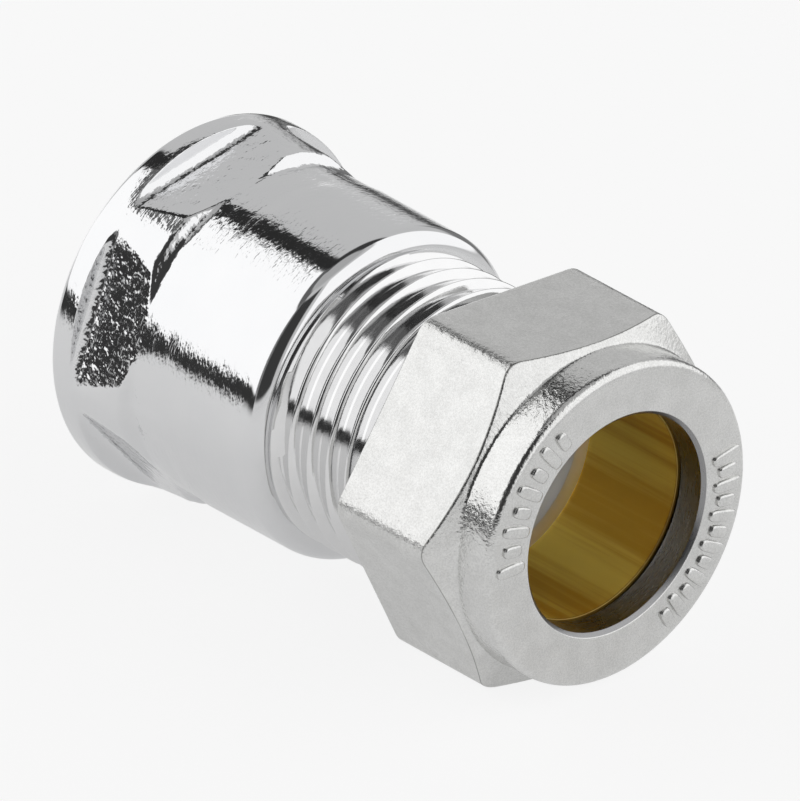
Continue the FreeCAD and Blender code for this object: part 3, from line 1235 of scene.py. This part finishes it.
STUDIO_PANELS = (
    Panel(0.0, 200, -4, 95, 0.63, 4.0),  # walls, all round
    Panel(0.0, 200, 70, 95, 0.48, 5.0),  # ceiling
    Panel(Side.REAR.value, 52, 54, 73, 0.05, 5.0),  # dark gap under the ceiling, at the rear
    Panel(Side.LEFT.value, 50, 50, 69, 0.14, 4.0),  # dark gap over the left light
    Panel(174.0, 9, 36, 66, 0.03, 4.0),  # dark post between left and rear
    Panel(Side.REAR.value - 36, 16, -10, 12, 0.22, 8.0),  # low grey gap between rear and right
    Panel(-116.0, 28, -12, 1, 0.04, 3.0),  # dark foot of the left light
    Panel(Side.FRONT.value, 30, -3, 62, 0.05, 4.0),  # dark opening ahead
    Panel(-91.0, 5, 2, 62, 0.22, 3.0),  # grey edge of that opening
    Panel(Side.LEFT.value - 3, 40, 1, 55, 1.27, 3.0),  # left soft light
    Panel(Side.RIGHT.value, 56, 0, 63, 1.22, 4.0),  # right soft light
    Panel(Side.REAR.value + 14, 26, -40, 8, 1.20, 8.0),  # low light on the rear
    Panel(Side.REAR.value - 15, 8, -24, -1, 0.08, 5.0),  # dark gap in that light
)


@dataclass(frozen=True)
class Studio:
    """A plain pale floor in a plain soft studio, lit by two large soft panels.

    The light changes only with direction, so it stays where it is in every view.

    Args:
        backdrop: Level of the backdrop that the camera sees.
        horizon: Height in degrees at which the light from below turns into that from above.
        horizon_edge: Width of that change, in degrees.
        floor_far: Level of the light from above the horizon, where no panel is.
        floor_near: The same from below it.
        panels: The panels, each laid over those before it.
        floor_glow: Level of the floor's own white.
        glow_seen: Share of that white that the camera sees.
        glow_reflected: Share of it that the metal reflects.
        floor_radius: Radius of the floor, in metres.
        floor_clear: Distance from which it fades.
        floor_gone: Distance at which it has faded out.
        floor_tilt: How far the floor is tilted, in degrees, so that collar and nut lie on it.
    """

    backdrop: float = 0.94
    horizon: float = -30.0
    horizon_edge: float = 40.0
    floor_far: float = 0.72
    floor_near: float = 0.55
    panels: tuple[Panel, ...] = STUDIO_PANELS
    floor_glow: float = 0.98
    glow_seen: float = 0.88
    glow_reflected: float = 0.46
    floor_radius: float = 0.15
    floor_clear: float = 0.06
    floor_gone: float = 0.147
    floor_tilt: float = 1.84

    def world(self) -> None:
        """Make the studio's walls and lights as a world that changes with direction."""
        world = bpy.data.worlds.new("studio")
        bpy.context.scene.world = world
        world.use_nodes = True
        w = Formulas(world.node_tree)
        direction = w.node("ShaderNodeTexCoord").outputs["Generated"]
        split = w.node("ShaderNodeSeparateXYZ", {"Vector": direction})
        x, y, z = (Term(w, out) for out in split.outputs)
        height = w.math("DEGREES", w.math("ARCSINE", z))

        def rise(value: Term, place: float, edge: float) -> Term:
            """A share that rises from 0 to 1 over an edge centred on a place."""
            return w.between(value, place - edge / 2, place + edge / 2)

        light = w.blend(rise(height, self.horizon, self.horizon_edge), self.floor_near, self.floor_far)
        for panel in self.panels:
            cosine, sine = math.cos(math.radians(panel.side)), math.sin(math.radians(panel.side))
            bearing = w.math("ARCTAN2", y * cosine - x * sine, x * cosine + y * sine)
            off = w.math("ABSOLUTE", w.math("DEGREES", bearing))
            within = 1.0 - rise(off, panel.spread, panel.edge)
            above = rise(height, panel.low, panel.edge)
            under = 1.0 - rise(height, panel.high, panel.edge)
            light = w.blend(within * above * under, light, panel.level)
        camera_ray = Term(w, w.node("ShaderNodeLightPath").outputs["Is Camera Ray"])
        seen = w.blend(camera_ray, light, self.backdrop)
        w.feed(seen, w.tree.nodes["Background"].inputs["Color"])

    def floor(self, tilt_place: tuple[float, float]) -> None:
        """Make the floor as a round sheet that fades out at its edge.

        Args:
            tilt_place: Place along the axis and height, in millimetres, where the collar rests.
        """
        sheet = bmesh.new()
        bmesh.ops.create_circle(sheet, cap_ends=True, segments=96, radius=self.floor_radius)
        mesh = bpy.data.meshes.new("floor")
        sheet.to_mesh(mesh)
        sheet.free()
        tilt = Matrix.Rotation(-math.radians(self.floor_tilt), 4, "Y")
        place = Matrix.Translation(Vector((tilt_place[0] * MM, 0, tilt_place[1] * MM)))
        mesh.transform(place @ tilt)
        s = Shading("pale_floor")
        speck = s.tint(s.noise(0.6), (0.89, 0.89, 0.89), (0.91, 0.91, 0.91))
        s.feed(speck, s.shader.inputs["Base Color"])
        s.feed(0.7, s.shader.inputs["Roughness"])
        path = s.node("ShaderNodeLightPath")
        camera, glossy, transmission = (Term(s, path.outputs[f"Is {kind} Ray"])
                                        for kind in ("Camera", "Glossy", "Transmission"))
        glow = s.node("ShaderNodeEmission", {
            "Color": (self.floor_glow, self.floor_glow, self.floor_glow, 1)})
        seen = s.math("MAXIMUM", camera, s.math("MAXIMUM", glossy, transmission))
        glowing = s.blend(camera, self.glow_reflected, self.glow_seen) * seen
        lit = s.ordered("ShaderNodeMixShader", glowing, s.shader.outputs[0], glow.outputs[0])
        away = s.distance(s.x - tilt_place[0] * MM, s.y)
        gone = s.between(away, self.floor_clear, self.floor_gone)
        clear = s.node("ShaderNodeBsdfTransparent").outputs[0]
        fade = s.ordered("ShaderNodeMixShader", gone, lit, clear)
        s.feed(fade, s.tree.nodes["Material Output"].inputs["Surface"])
        mesh.materials.append(s.material)
        floor = bpy.data.objects.new("floor", mesh)
        bpy.context.scene.collection.objects.link(floor)


@dataclass(frozen=True)
class Camera:
    """The photograph's long lens, from ahead of the nut, to its left and above."""

    place: tuple[float, float, float] = (0.94085, -0.90215, 0.64028)
    forward: tuple[float, float, float] = (-0.63984, 0.62683, -0.44462)
    right: tuple[float, float, float] = (0.67431, 0.73545, 0.06647)
    lens: float = 982.66
    sensor: float = 36.0

    def build(self) -> None:
        """Make the camera and give it to the scene."""
        data = bpy.data.cameras.new("camera")
        data.lens = self.lens
        data.sensor_width = self.sensor
        data.sensor_fit = "AUTO"
        data.clip_end = 20
        forward = Vector(self.forward).normalized()
        right = Vector(self.right)
        right = (right - forward * right.dot(forward)).normalized()
        up = right.cross(forward)
        turn = Matrix((right, up, -forward)).transposed().to_4x4()
        camera = bpy.data.objects.new("camera", data)
        camera.matrix_world = Matrix.Translation(Vector(self.place)) @ turn
        bpy.context.scene.collection.objects.link(camera)
        bpy.context.scene.camera = camera


def main() -> None:
    """Build the fitting, the studio and the camera."""
    logging.basicConfig(level=logging.INFO, format="%(name)s: %(message)s")
    bpy.context.scene.view_settings.view_transform = "Standard"
    tree = thread_tree()
    thread = PipeThread()
    body = ConnectorBody(thread)
    body.build(tree)
    Olive().build()
    CompressionNut(thread).build(tree)
    studio = Studio()
    studio.world()
    studio.floor((body.collar_width, -body.collar_radius))
    Camera().build()


if __name__ == "__main__":
    main()
